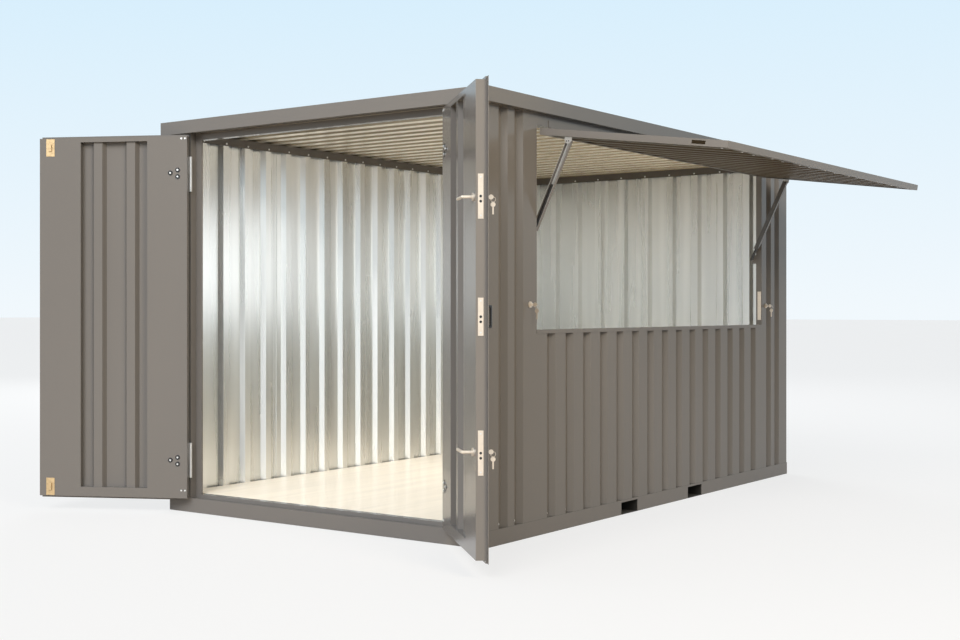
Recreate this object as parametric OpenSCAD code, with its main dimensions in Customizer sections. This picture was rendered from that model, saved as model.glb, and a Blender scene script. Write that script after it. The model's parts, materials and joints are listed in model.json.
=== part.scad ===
// Flat-pack steel kiosk: a sheet-steel cabin with double doors in one end and a
// top-hung serving hatch in one long side. Origin: centre of the footprint, on the ground.
// X runs along the cabin, away from the door end. The hatch is in the -Y side. Z is up.

/* [Shell] */
// Length over the base frame
shell_l = 4050; // [3600:10:6000]
// Width over the base frame
shell_w = 2150; // [2000:10:2500]
// Height to the top of the roof
shell_h = 2260; // [2200:10:2600]

/* [Base frame] */
// Height of the base rails
rail_h = 80; // [74:1:120]
// Depth of the base rails' flanges
rail_d = 60; // [60:1:80]
// Sheet thickness of the base rails
rail_t = 3; // [2:0.5:5]
// Clear width of a forklift pocket
pocket_w = 207; // [160:1:260]
// Clear height of a forklift pocket
pocket_h = 68; // [50:1:68]
// Distance between the middles of the two forklift pockets
pocket_pitch = 900; // [700:10:1100]
// Sheet thickness of the forklift channels
channel_t = 4; // [2:0.5:5]
// Width of a floor joist
joist_w = 50; // [40:1:80]
// Spacing on which the floor joists are set out
joist_pitch = 500; // [460:10:560]
// Sheet thickness of the floor joists
joist_t = 3; // [2:0.5:5]
// Thickness of the timber floor
floor_t = 20; // [15:1:30]

/* [Wall sheets] */
// Sheet thickness of walls and leaves
sheet_t = 2; // [1:0.5:3]
// Distance from the base frame's face back to the wall sheets
wall_inset = 3; // [2:1:8]
// Width of a groove at its mouth
groove_w = 86; // [70:1:100]
// Width of a groove's floor
groove_floor = 50; // [30:1:60]
// Depth of a groove
groove_d = 30; // [20:1:32]
// Distance between grooves in the wide panels
groove_pitch = 197; // [180:1:210]
// Distance between the grooves of a narrow panel beside the hatch
narrow_pitch = 152; // [130:1:160]
// Flat left between a narrow panel's last groove and the hatch, at least
narrow_edge = 60; // [40:1:80]
// Distance of a narrow panel's first groove from the cabin's corner
narrow_first = 190; // [150:1:200]
// Clearance between the wall sheets and what stands inside them
wall_clear = 2; // [1:0.5:5]

/* [Posts] */
// Sheet thickness of the posts
post_t = 3; // [2:0.5:5]
// Width of a post's leg along a wall
post_leg = 60; // [50:1:80]
// Distance from the side face to the edge of the door opening
opening_inset = 212; // [205:1:280]
// Depth of the door frame behind its stop face
frame_d = 45; // [30:1:60]
// Depth of the door posts' inner fold
post_return = 12; // [8:1:40]

/* [Roof] */
// Height of the roof's edge profile
fascia_h = 74; // [70:1:110]
// Overhang of the roof beyond the base frame
roof_overhang = 38; // [30:1:60]
// Sheet thickness of the roof's edge profile
fascia_t = 2; // [1:0.5:4]
// Height of the roof sheet's ribs
roof_rib_h = 30; // [15:1:32]
// Distance between the roof sheet's ribs
roof_rib_pitch = 150; // [120:1:200]
// Width of a roof rib at its foot
roof_rib_w = 80; // [60:1:90]
// Width of a roof rib's crown
roof_rib_crown = 40; // [20:1:50]
// Height of the eaves angle's upright leg
eaves_leg = 50; // [40:1:70]
// Height of the eaves angle above the underside of the roof's edge
eaves_rise = 30; // [20:1:36]
// Sheet thickness of the eaves angle
eaves_t = 2; // [1:0.5:4]
// Height of the door frame's header
header_h = 36; // [30:1:60]

/* [Doors] */
// Distance from the side face to the hinge axis
hinge_inset = 178; // [150:1:190]
// Depth of a leaf's frame behind its skin
leaf_d = 43; // [36:1:50]
// Clearance of the closed leaves to the base, header and each other
leaf_clear = 5; // [5:0.5:8]
// Overlap of a leaf's skin past its frame, at top and bottom
leaf_lip = 13; // [8:1:13]
// Width of the ribbed field between a leaf's stiles
leaf_field_w = 399; // [330:1:440]
// Distance of the ribbed field from the leaf's middle, towards the hinges
leaf_field_shift = 6; // [0:1:12]
// Height of a leaf's top rail
top_rail_h = 25; // [20:1:60]
// Height of a leaf's bottom rail
bottom_rail_h = 55; // [40:1:90]
// Angle at which the left leaf stands open
left_open = 150; // [60:1:165]
// Angle at which the right leaf stands open
right_open = 133; // [60:1:165]
// Width of the strip on the right leaf that covers the joint
cover_w = 20; // [12:1:30]
// Outer radius of the door hinges
knuckle_r = 8; // [6:0.5:9]
// Radius of the door hinge pins
pin_r = 5; // [3:0.5:5]
// Length of a door hinge
hinge_len = 200; // [120:5:260]
// Distance of a hinge's middle from the leaf's end
hinge_from_end = 215; // [160:5:400]

/* [Hatch] */
// Distance from the cabin's door end to the hatch
near_side_w = 522; // [460:1:900]
// Distance from the hatch to the cabin's far end
far_side_w = 468; // [460:1:900]
// Height of the counter sill's top
sill_z = 1065; // [900:5:1200]
// Depth of the hatch frame
hatch_d = 64; // [62:1:90]
// Depth of the hatch's jambs
hatch_jamb_d = 42; // [39:1:60]
// Height of the sill's front lip
sill_lip = 20; // [15:1:30]
// Distance from the hatch opening's top to the roof's edge
hatch_header_h = 60; // [56:1:120]

/* [Flap] */
// Clearance round the closed flap
flap_clear = 7; // [5:0.5:10]
// Gap between the closed flap and the sill
flap_foot = 26; // [6:1:40]
// Width of the flap's frame profiles
flap_rail_w = 40; // [30:1:60]
// Angle of the open flap below the horizontal
flap_droop = 8; // [0:0.5:20]
// Outer radius of the flap hinges
flap_knuckle_r = 6; // [5:0.5:7]
// Radius of the flap hinge pins
flap_pin_r = 3; // [2:0.5:4]
// Length of the slot for the lock's bolt in the flap's side
keeper_len = 70; // [40:1:90]
// Width of the slot for the lock's bolt
keeper_w = 18; // [12:1:22]
// Length of a flap hinge
flap_hinge_len = 120; // [80:5:160]
// Distance of the outer flap hinges from the flap's ends
flap_hinge_end = 113; // [60:1:200]

/* [Gas struts] */
// Distance of a strut's middle from the hatch jamb
strut_from_jamb = 28; // [24:1:40]
// Distance of the upper pivot down the flap from its hinge
upper_down = 175; // [170:1:230]
// Distance of the upper pivot in from the flap's inner face
upper_off = 22; // [20:1:26]
// Distance of the lower pivot below the flap's hinge
lower_down = 604; // [560:1:640]
// Distance of the lower pivot behind the base frame's face
lower_in = 62; // [58:1:70]
// Height of the tab on a jamb that carries the lower pivot
stud_tab = 60; // [40:1:90]
// Radius of the gas cylinder
cylinder_r = 9; // [7:0.5:10]
// Radius of the piston rod
rod_r = 4; // [3:0.5:5]
// Width of the guard channel
guard_w = 28; // [26:1:30]
// Depth of the guard channel
guard_d = 22; // [20:1:24]
// Sheet thickness of the guard channel
guard_t = 2; // [1:0.5:3]
// Length of the guard channel below the upper pivot
guard_len = 490; // [440:5:500]
// Length of the gas cylinder above the lower pivot
cylinder_len = 330; // [300:5:350]

/* [Locks] */
// Height of the upper lock's handle
upper_lock_z = 1660; // [1500:5:1750]
// Height of the lower lock's handle
lower_lock_z = 550; // [450:5:700]
// Height of the middle lock
middle_lock_z = 1139; // [1000:1:1250]
// Height of the hatch locks above the counter sill
hatch_lock_up = 130; // [110:1:200]
// Distance of the hatch's key cylinders from the opening
hatch_key_side = 70; // [50:1:100]
// Length of a flush bolt's plate
bolt_len = 100; // [80:1:140]
// Thickness of a flush bolt's plate
bolt_t = 2; // [1:0.5:2]
// Length of a lock's edge plate
lock_plate_len = 195; // [150:1:220]
// Width of a lock's edge plate
lock_plate_w = 24; // [18:1:28]
// Thickness of a lock's edge plate
lock_plate_t = 2; // [1:0.5:3]
// Distance of the handles from the leaf's free edge
lever_from_edge = 45; // [40:1:60]
// Length of a lever handle
lever_len = 115; // [90:1:130]
// Radius of a lever handle's grip
lever_r = 7; // [5:0.5:9]
// Length of the pull handle
pull_len = 100; // [80:1:160]
// Radius of the pull handle's bar
pull_r = 6; // [4:0.5:8]
// Distance of the pull handle's bar from the leaf
pull_off = 32; // [25:1:40]
// Distance of a lever's grip from the leaf
lever_off = 50; // [35:1:55]

/* [Hidden] */
$fn = 48;
eps = 0.5;
run_gap = 0.08;
seat_gap = 0.3;

hx = shell_l / 2;
hy = shell_w / 2;
fascia_z = shell_h - fascia_h;
wall_h = fascia_z - rail_h;
floor_z = rail_h + floor_t;
wall_deep = wall_inset + groove_d + sheet_t + wall_clear;

// Door leaf, in its closed place: u runs from the middle of the door end to the hinges
skin_x = -hx - leaf_clear - sheet_t;
leaf_x = skin_x + sheet_t;
leaf_in_x = leaf_x + leaf_d;
stop_x = leaf_in_x + leaf_clear + 2;
axis_x = skin_x - 2;
axis_y = hy - hinge_inset;
leaf_gap = knuckle_r + 2;
leaf_u0 = 4;
leaf_u1 = axis_y - leaf_gap;
leaf_z0 = rail_h + leaf_clear;
leaf_z1 = fascia_z - leaf_clear - leaf_lip - 2;
skin_z0 = leaf_z0 - leaf_lip;
skin_z1 = leaf_z1 + leaf_lip;
free_stile_w = (leaf_u1 - leaf_u0 - leaf_field_w) / 2 + leaf_field_shift;
hinge_stile_w = (leaf_u1 - leaf_u0 - leaf_field_w) / 2 - leaf_field_shift;
leaf_mid = (leaf_u0 + free_stile_w + leaf_u1 - hinge_stile_w) / 2;
leaf_grooves = [leaf_mid - groove_pitch / 2, leaf_mid + groove_pitch / 2];
hinge_zs = [leaf_z0 + hinge_from_end, leaf_z1 - hinge_from_end];
hinge_plate_t = 4;
hinge_plate_w = 62;
hinge_split = 1;

// Door posts and frame
post_step = hinge_inset - leaf_gap;
frame_x = stop_x + frame_d;
threshold_d = frame_d + wall_clear;

// Hatch frame and flap
flap_t = 2;
flap_d = groove_d + sheet_t + flap_t;
hatch_w = shell_l - near_side_w - far_side_w;
hatch_shift = (near_side_w - far_side_w) / 2;
hatch_x = hatch_w / 2;
hatch_top = fascia_z - hatch_header_h;
hatch_lock_z = sill_z + hatch_lock_up;
flap_x = hatch_x - flap_clear;
flap_axis_y = -hy - flap_knuckle_r;
flap_axis_z = hatch_top - flap_clear;
flap_out = wall_inset + flap_knuckle_r;
flap_top = 8;
flap_len = flap_axis_z - flap_top - sill_z - flap_foot;
flap_turn = 90 - flap_droop;
flap_hinge_pitch = (2 * (flap_x - flap_hinge_end) - flap_hinge_len) / 3;
flap_hinge_xs = [for (i = [-1.5 : 1 : 1.5]) i * flap_hinge_pitch];
hatch_jamb_w = 45;
jamb_d = hatch_jamb_d - wall_inset - sheet_t;

// Gas strut pivots; s is measured along the strut from the upper pivot
strut_x = hatch_x - strut_from_jamb;
upper_in = flap_out + flap_d + upper_off;
upper_y = flap_axis_y + upper_in * cos(flap_turn) - upper_down * sin(flap_turn);
upper_z = flap_axis_z - upper_in * sin(flap_turn) - upper_down * cos(flap_turn);
lower_y = -hy + lower_in;
lower_z = flap_axis_z - lower_down;
strut_len = norm([upper_y - lower_y, upper_z - lower_z]);
strut_tilt = atan2(lower_y - upper_y, upper_z - lower_z);
eye_r = 8;
stud_r = 6;
ear_t = 4;
cylinder_foot = 40;

paint = [0.50, 0.48, 0.45];
dark_paint = [0.36, 0.33, 0.29];
galvanised = [0.78, 0.80, 0.80];
timber = [0.93, 0.86, 0.72];
brass = [0.80, 0.68, 0.46];
black = [0.10, 0.10, 0.10];
steel = [0.75, 0.75, 0.75];

// One face of a ribbed sheet: each rib goes from level v0 to level v0 + d and back
function ribs(centres, w, crown, d, v0) = [
    for (c = centres)
        each [[c - w / 2, v0], [c - crown / 2, v0 + d], [c + crown / 2, v0 + d], [c + w / 2, v0]]
];
function backwards(list) = [for (i = [len(list) - 1 : -1 : 0]) list[i]];
function ribbed_outline(u0, u1, centres, w, crown, d, t) = concat(
    [[u0, 0]], ribs(centres, w, crown, d, 0), [[u1, 0], [u1, t]],
    backwards(ribs(centres, w, crown, d, t)), [[u0, t]]
);
// Places of n marks at a pitch, set out from the middle
function centred(n, pitch) = [for (i = [0 : n - 1]) (i - (n - 1) / 2) * pitch];
// How many marks at a pitch fit in a length, an odd number so that one is in the middle
function odd_fit(length, pitch) = 2 * floor(length / pitch / 2) + 1;

// A wall sheet standing on z = 0, outer face on the X axis, grooves sunk towards +Y
module wall_sheet(u0, u1, centres, h) {
    linear_extrude(h) polygon(ribbed_outline(u0, u1, centres, groove_w, groove_floor, groove_d, sheet_t));
}

// A channel along X with its web on y = 0 and its flanges towards +Y
module channel(length, h, d, t) {
    rotate([90, 0, 90]) linear_extrude(length)
        polygon([[0, 0], [d, 0], [d, t], [t, t], [t, h - t], [d, h - t], [d, h], [0, h]]);
}

// A channel along X whose two ends are closed by plates
module closed_channel(length, h, d, t) {
    channel(length, h, d, t);
    for (x = [0, length - t]) translate([x, 0, 0]) cube([t, d, h]);
}

module both_sides() {
    children();
    mirror([0, 1, 0]) children();
}

module both_ends() {
    children();
    mirror([1, 0, 0]) children();
}

// Base frame

module base_side_rails() {
    color(paint) both_sides() difference() {
        translate([-hx, -hy, 0]) closed_channel(shell_l, rail_h, rail_d, rail_t);
        for (s = [-1, 1]) translate([s * pocket_pitch / 2, -hy, 0]) {
            translate([-pocket_w / 2, -1, -1]) cube([pocket_w, rail_t + 2, pocket_h + 1]);
            translate([-pocket_w / 2 - channel_t - eps, rail_t, -1])
                cube([pocket_w + 2 * (channel_t + eps), rail_d, rail_t + 2]);
        }
    }
}

module base_end_rails() {
    color(paint) both_ends() translate([-hx, hy - rail_d, 0]) rotate([0, 0, -90])
        channel(shell_w - 2 * rail_d, rail_h, rail_d, rail_t);
}

module fork_channels() {
    run = shell_w - 2 * rail_t;
    color(dark_paint) for (s = [-1, 1]) translate([s * pocket_pitch / 2, 0, 0]) difference() {
        translate([-pocket_w / 2 - channel_t, -run / 2, 0])
            cube([pocket_w + 2 * channel_t, run, pocket_h + channel_t]);
        translate([-pocket_w / 2, -run / 2 - 1, -1]) cube([pocket_w, run + 2, pocket_h + 1]);
    }
}

module floor_joists() {
    run = shell_w - 2 * rail_d;
    color(dark_paint) for (i = [-3, -2, 0, 2, 3]) translate([i * joist_pitch, 0, 0]) difference() {
        translate([-joist_w / 2, -run / 2, 0]) cube([joist_w, run, rail_h]);
        translate([-joist_w / 2 + joist_t, -run / 2 - 1, joist_t])
            cube([joist_w - 2 * joist_t, run + 2, rail_h - 2 * joist_t]);
    }
}

module floor_panel() {
    x0 = stop_x + threshold_d;
    x1 = hx - wall_deep;
    color(timber) translate([x0, -hy + wall_deep, rail_h])
        cube([x1 - x0, shell_w - 2 * wall_deep, floor_t]);
}

// Posts and walls

// Folded door post: a leg along the side wall, the corner face, the step behind the leaf, the stop
module door_post() {
    a = wall_inset;
    s = stop_x + hx;
    e = s + post_return;
    outer = [[a, post_leg], [a, a], [post_step, a], [post_step, s], [opening_inset, s], [opening_inset, e]];
    inner = [
        [a + post_t, post_leg], [a + post_t, a + post_t], [post_step - post_t, a + post_t],
        [post_step - post_t, s + post_t], [opening_inset - post_t, s + post_t], [opening_inset - post_t, e]
    ];
    translate([-hx, -hy, rail_h]) linear_extrude(wall_h)
        polygon([for (p = concat(outer, backwards(inner))) [p[1], p[0]]]);
}

module door_posts() {
    color(paint) both_sides() door_post();
}

module far_posts() {
    color(paint) both_sides() translate([hx - wall_inset, -hy + wall_inset, rail_h]) linear_extrude(wall_h)
        polygon([
            [0, 0], [0, post_leg], [-post_t, post_leg], [-post_t, post_t], [-post_leg, post_t], [-post_leg, 0]
        ]);
}

module back_wall() {
    u0 = -hx + post_leg;
    u1 = hx - wall_inset - post_leg;
    n = odd_fit(shell_l - 2 * post_leg - groove_w, groove_pitch);
    color(paint) translate([0, hy - wall_inset, rail_h]) mirror([0, 1, 0])
        wall_sheet(u0, u1, centred(n, groove_pitch), wall_h);
}

module far_end_wall() {
    u = hy - wall_inset - post_leg;
    n = odd_fit(2 * u - groove_w, groove_pitch);
    color(paint) translate([hx - wall_inset, 0, rail_h]) rotate([0, 0, 90])
        wall_sheet(-u, u, centred(n, groove_pitch), wall_h);
}

// Narrow panel beside the hatch, its places measured from the nearer corner of the cabin
module narrow_panel(u0, u1) {
    last = floor((u1 - narrow_first - groove_w / 2 - narrow_edge) / narrow_pitch);
    grooves = [for (i = [0 : max(0, last)]) narrow_first + i * narrow_pitch];
    color(paint) translate([-hx, -hy + wall_inset, rail_h]) wall_sheet(u0, u1, grooves, wall_h);
}

module hatch_side_near_panel() {
    narrow_panel(post_leg, near_side_w);
}

module hatch_side_far_panel() {
    mirror([1, 0, 0]) narrow_panel(wall_inset + post_leg, far_side_w);
}

// Things of the hatch are modelled about the hatch's middle
module at_hatch() {
    translate([hatch_shift, 0, 0]) children();
}

module hatch_side_lower_panel() {
    n = odd_fit(hatch_w - groove_w, groove_pitch);
    color(paint) at_hatch() translate([0, -hy + wall_inset, rail_h])
        wall_sheet(-hatch_x, hatch_x, centred(n, groove_pitch), sill_z - sheet_t - rail_h);
}

// Hatch frame

module hatch_sill() {
    d = hatch_d - wall_inset;
    color(paint) at_hatch() translate([-hatch_x, -hy + wall_inset, sill_z]) rotate([90, 0, 90]) linear_extrude(hatch_w)
        polygon([
            [-sheet_t, -sill_lip], [0, -sill_lip], [0, -sheet_t], [d - sheet_t, -sheet_t],
            [d - sheet_t, -sill_lip], [d, -sill_lip], [d, 0], [-sheet_t, 0]
        ]);
}

// Angle that lines the side of the opening behind the narrow panel's flat edge
module hatch_jambs() {
    y0 = -hy + wall_inset + sheet_t;
    h = hatch_top - sill_z + sill_lip;
    color(paint) at_hatch() both_ends() {
        translate([hatch_x, y0, sill_z - sill_lip]) linear_extrude(h)
            polygon([
                [0, 0], [post_t, 0], [post_t, jamb_d - post_t], [hatch_jamb_w, jamb_d - post_t],
                [hatch_jamb_w, jamb_d], [0, jamb_d]
            ]);
        translate([hatch_x, y0, lower_z - stud_tab / 2]) cube([post_t, lower_in + 10 - wall_inset - sheet_t, stud_tab]);
    }
}

module hatch_header() {
    h = fascia_z - hatch_top;
    d = hatch_d - wall_inset;
    tip = groove_d + sheet_t;
    color(paint) at_hatch() translate([-hatch_x, -hy + wall_inset, hatch_top]) rotate([90, 0, 90])
        linear_extrude(hatch_w)
        polygon([
            [0, 0], [d, 0], [d, sheet_t], [sheet_t, sheet_t],
            [sheet_t, h - sheet_t], [tip, h - sheet_t], [tip, h], [0, h]
        ]);
}

module door_header() {
    run = shell_w - 2 * opening_inset;
    color(paint) translate([stop_x, run / 2, fascia_z - header_h]) rotate([0, 0, -90])
        channel(run, header_h, frame_d, sheet_t);
}

module door_threshold() {
    run = shell_w - 2 * opening_inset;
    color(galvanised) translate([stop_x, run / 2, rail_h]) rotate([90, 0, 0]) linear_extrude(run)
        polygon([
            [0, 0], [rail_t, 0], [rail_t, floor_t - rail_t], [threshold_d, floor_t - rail_t],
            [threshold_d, floor_t], [0, floor_t]
        ]);
}

// Roof

// Angle along a wall's top: the upright leg inside the wall, the other leg over it, under the roof sheet
module eaves_angle(length, leg) {
    in = roof_overhang + wall_deep - wall_clear;
    translate([0, 0, fascia_z + eaves_rise - leg]) rotate([90, 0, 90]) linear_extrude(length)
        polygon([
            [fascia_t + eps, leg - eaves_t], [in, leg - eaves_t], [in, 0], [in + eaves_t, 0],
            [in + eaves_t, leg], [fascia_t + eps, leg]
        ]);
}

module eaves_angles() {
    side = shell_l - 2 * (wall_deep - wall_clear);
    end = shell_w - 2 * (wall_deep - wall_clear + eaves_t + eps);
    color(dark_paint) {
        both_sides() translate([-side / 2, -hy - roof_overhang, 0]) eaves_angle(side, eaves_leg);
        translate([-hx - roof_overhang, end / 2, 0]) rotate([0, 0, -90]) eaves_angle(end, eaves_rise);
        mirror([1, 0, 0]) translate([-hx - roof_overhang, end / 2, 0]) rotate([0, 0, -90])
            eaves_angle(end, eaves_leg);
    }
}

module roof_side_fascias() {
    l = shell_l + 2 * roof_overhang;
    d = roof_overhang + wall_deep - wall_clear;
    color(paint) both_sides() translate([-l / 2, -hy - roof_overhang, fascia_z])
        closed_channel(l, fascia_h, d, fascia_t);
}

module roof_end_fascias() {
    d = roof_overhang + wall_deep - wall_clear;
    run = shell_w - 2 * (wall_deep - wall_clear);
    color(paint) both_ends() translate([-hx - roof_overhang, run / 2, fascia_z]) rotate([0, 0, -90])
        channel(run, fascia_h, d, fascia_t);
}

module roof_sheet() {
    l = shell_l + 2 * (roof_overhang - fascia_t - eps);
    w = shell_w + 2 * (roof_overhang - fascia_t - eps);
    n = odd_fit(l - roof_rib_w, roof_rib_pitch);
    color(galvanised) translate([0, w / 2, fascia_z + eaves_rise]) rotate([90, 0, 0]) linear_extrude(w)
        polygon(ribbed_outline(
            -l / 2, l / 2, centred(n, roof_rib_pitch), roof_rib_w, roof_rib_crown, roof_rib_h, fascia_t
        ));
}

// Hinges, in the closed place

// Lower half of a door hinge with its pin and the plate on the post
module door_hinge_pin(z) {
    half = hinge_len / 2 - hinge_split;
    translate([axis_x, axis_y, z - hinge_len / 2]) {
        cylinder(r = knuckle_r, h = half);
        cylinder(r = pin_r, h = hinge_len - 10);
    }
    translate([-hx + wall_inset - hinge_plate_t, axis_y + leaf_gap - 4, z - hinge_len / 2])
        cube([hinge_plate_t, hinge_plate_w - leaf_gap, half]);
    translate([axis_x, axis_y + 2, z - hinge_len / 2])
        cube([-hx + wall_inset - axis_x, leaf_gap - 2, half]);
}

module door_hinge_pins() {
    color(steel) both_sides() for (z = hinge_zs) door_hinge_pin(z);
}

// Upper half of a door hinge with its strap on the leaf's skin
module leaf_hinges() {
    color(steel) for (z = hinge_zs) difference() {
        union() {
            translate([axis_x, axis_y, z]) cylinder(r = knuckle_r, h = hinge_len / 2);
            translate([skin_x - hinge_plate_t, axis_y - hinge_plate_w, z])
                cube([hinge_plate_t, hinge_plate_w, hinge_len / 2]);
        }
        translate([axis_x, axis_y, z - 1]) cylinder(r = pin_r + run_gap, h = hinge_len);
    }
}

module flap_hinge_pins() {
    color(steel) at_hatch() for (x = flap_hinge_xs) translate([x - flap_hinge_len / 2, 0, 0]) {
        translate([0, flap_axis_y, flap_axis_z]) rotate([0, 90, 0]) {
            cylinder(r = flap_knuckle_r, h = flap_hinge_len / 2 - hinge_split);
            cylinder(r = flap_pin_r, h = flap_hinge_len - 5);
        }
        translate([0, flap_axis_y, flap_axis_z])
            cube([flap_hinge_len / 2 - hinge_split, flap_out, flap_knuckle_r / 2]);
        translate([0, -hy, flap_axis_z])
            cube([flap_hinge_len / 2 - hinge_split, wall_inset, 40]);
    }
}

// Hatch hardware

module strut_studs() {
    x1 = strut_x + guard_d / 2 + seat_gap;
    color(steel) at_hatch() both_ends() translate([x1, lower_y, lower_z]) rotate([0, 90, 0])
        cylinder(r = stud_r, h = hatch_x - x1);
}

module hatch_locks() {
    color(brass) at_hatch() both_ends() {
        translate([hatch_x - lock_plate_t, -hy + wall_inset + 4, hatch_lock_z - lock_plate_len / 2])
            cube([lock_plate_t, lock_plate_w, lock_plate_len]);
        translate([hatch_x + hatch_key_side, -hy + wall_inset, hatch_lock_z]) rotate([90, 0, 0]) {
            cylinder(r = 16, h = 6);
            cylinder(r = 9, h = 14);
        }
    }
}

// Door leaves, in the closed place; the right leaf is modelled on the -Y side

// Turns a leaf modelled in its closed place on the +Y side out by an angle
module swing(angle) {
    translate([axis_x, axis_y, 0]) rotate([0, 0, -angle]) translate([-axis_x, -axis_y, 0]) children();
}

module left_leaf() {
    swing(left_open) children();
}

module right_leaf() {
    mirror([0, 1, 0]) swing(right_open) children();
}

// Skin with grooves over the leaf's frame and a flat lip past it at top and bottom
module leaf_skin() {
    outline = ribbed_outline(leaf_u0, leaf_u1, leaf_grooves, groove_w, groove_floor, groove_d, sheet_t);
    color(paint) {
        translate([skin_x, 0, leaf_z0]) linear_extrude(leaf_z1 - leaf_z0)
            polygon([for (p = outline) [p[1], p[0]]]);
        for (z = [skin_z0, leaf_z1 - eps]) translate([skin_x, leaf_u0, z])
            cube([sheet_t, leaf_u1 - leaf_u0, leaf_lip + eps]);
    }
}

// Tray-shaped stile, open towards the skin
module stile(u0, w) {
    h = leaf_z1 - leaf_z0;
    translate([leaf_x, u0, leaf_z0]) difference() {
        cube([leaf_d, w, h]);
        translate([-1, sheet_t, sheet_t]) cube([leaf_d - sheet_t + 1, w - 2 * sheet_t, h - 2 * sheet_t]);
    }
}

module leaf_stiles() {
    color(paint) {
        stile(leaf_u0, free_stile_w);
        stile(leaf_u1 - hinge_stile_w, hinge_stile_w);
    }
}

// Rail that fills the leaf between its stiles and follows the skin's grooves
module leaf_rail(z, h) {
    u0 = leaf_u0 + free_stile_w;
    u1 = leaf_u1 - hinge_stile_w;
    face = concat([[u0, 0]], ribs(leaf_grooves, groove_w, groove_floor, groove_d, 0), [[u1, 0]]);
    outline = concat(face, [[u1, leaf_d], [u0, leaf_d]]);
    translate([leaf_x, 0, z]) linear_extrude(h) polygon([for (p = outline) [p[1], p[0]]]);
}

module leaf_rails() {
    color(paint) {
        leaf_rail(leaf_z0, bottom_rail_h);
        leaf_rail(leaf_z1 - top_rail_h, top_rail_h);
    }
}

// Strip on the right leaf that covers the joint between the leaves
module cover_strip() {
    base = 30;
    o = leaf_clear + sheet_t;
    translate([skin_x, 0, skin_z0]) linear_extrude(skin_z1 - skin_z0)
        polygon([
            [0, leaf_u0], [0, leaf_u0 + base], [-sheet_t, leaf_u0 + base], [-sheet_t, leaf_u0 + sheet_t],
            [-o, leaf_u0 + sheet_t], [-o, -cover_w], [sheet_t - o, -cover_w], [sheet_t - o, leaf_u0]
        ]);
}

module leaf_bolts() {
    color(brass) for (z = [leaf_z0 + 4, leaf_z1 - 4 - bolt_len]) translate([leaf_in_x, leaf_u0 + 40, z]) {
        cube([bolt_t, 50, bolt_len]);
        translate([bolt_t, 17, bolt_len / 2 - 20]) cube([9, 16, 40]);
    }
}

module edge_plate(z, length) {
    translate([leaf_x + (leaf_d - lock_plate_w) / 2, leaf_u0 - lock_plate_t, z - length / 2])
        cube([lock_plate_w, lock_plate_t, length]);
}

module leaf_locks() {
    color(brass) {
        edge_plate(upper_lock_z, lock_plate_len);
        edge_plate(middle_lock_z, lock_plate_len - 30);
        edge_plate(lower_lock_z, lock_plate_len);
        for (z = [upper_lock_z, lower_lock_z]) translate([skin_x, leaf_u0 + lever_from_edge, z]) {
            rotate([0, -90, 0]) cylinder(r = 14, h = 5);
            rotate([0, -90, 0]) cylinder(r = 8.5, h = 14);
        }
    }
}

// Bow handle on the leaf's outer face
module pull_handle() {
    h = pull_len / 2 - pull_r;
    color(black) translate([skin_x, leaf_u0 + lever_from_edge + 12, middle_lock_z]) {
        for (s = [-1, 1]) translate([0, 0, s * h]) rotate([0, -90, 0]) {
            cylinder(r = 2 * pull_r, h = 4);
            cylinder(r = pull_r, h = pull_off);
        }
        translate([-pull_off, 0, -h]) cylinder(r = pull_r, h = 2 * h);
        for (s = [-1, 1]) translate([-pull_off, 0, s * h]) sphere(r = pull_r);
    }
}

module lever(z) {
    color(brass) translate([leaf_in_x + seat_gap, leaf_u0 + lever_from_edge, z]) {
        rotate([0, 90, 0]) cylinder(r = 18, h = 7);
        rotate([0, 90, 0]) cylinder(r = lever_r, h = lever_off);
        translate([lever_off, 0, 0]) {
            sphere(r = lever_r);
            rotate([-90, 0, 0]) cylinder(r = lever_r, h = lever_len);
            translate([0, lever_len, 0]) sphere(r = lever_r);
        }
    }
}

// Flap, in its closed place: it hangs from its axis down to the sill

module open_flap() {
    translate([hatch_shift, flap_axis_y, flap_axis_z]) rotate([-flap_turn, 0, 0])
        translate([0, -flap_axis_y, -flap_axis_z]) children();
}

flap_z1 = flap_axis_z - flap_top;
flap_z0 = flap_z1 - flap_len;
flap_y0 = -hy + wall_inset;

module flap_sheet() {
    u = flap_x - flap_t;
    n = odd_fit(2 * u - groove_w, groove_pitch);
    color(paint) open_flap() translate([0, flap_y0, flap_z0 + flap_t])
        wall_sheet(-u, u, centred(n, groove_pitch), flap_len - 2 * flap_t);
}

// Frame of four channels round the sheet's edge, open towards the middle
module flap_frame() {
    w = 2 * flap_x;
    color(paint) open_flap() translate([-flap_x, flap_y0, flap_z0]) difference() {
        cube([w, flap_d, flap_len]);
        translate([flap_t, -1, flap_t]) cube([w - 2 * flap_t, flap_d - flap_t + 1, flap_len - 2 * flap_t]);
        translate([flap_rail_w, -1, flap_rail_w])
            cube([w - 2 * flap_rail_w, flap_d + 2, flap_len - 2 * flap_rail_w]);
        translate([-1, flap_d / 2 - keeper_w / 2, hatch_lock_z - flap_z0 + 9])
            cube([w + 2, keeper_w, keeper_len]);
    }
}

module flap_hinges() {
    half = flap_hinge_len / 2;
    color(steel) open_flap() for (x = flap_hinge_xs) translate([x, 0, 0]) difference() {
        union() {
            translate([0, flap_axis_y, flap_axis_z]) rotate([0, 90, 0]) cylinder(r = flap_knuckle_r, h = half);
            translate([0, flap_axis_y, flap_z1 - 40])
                cube([half, flap_out, 40]);
            translate([0, flap_axis_y, flap_z1])
                cube([half, flap_knuckle_r / 2, flap_top]);
        }
        translate([-1, flap_axis_y, flap_axis_z]) rotate([0, 90, 0])
            cylinder(r = flap_pin_r + run_gap, h = flap_hinge_len);
    }
}

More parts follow.
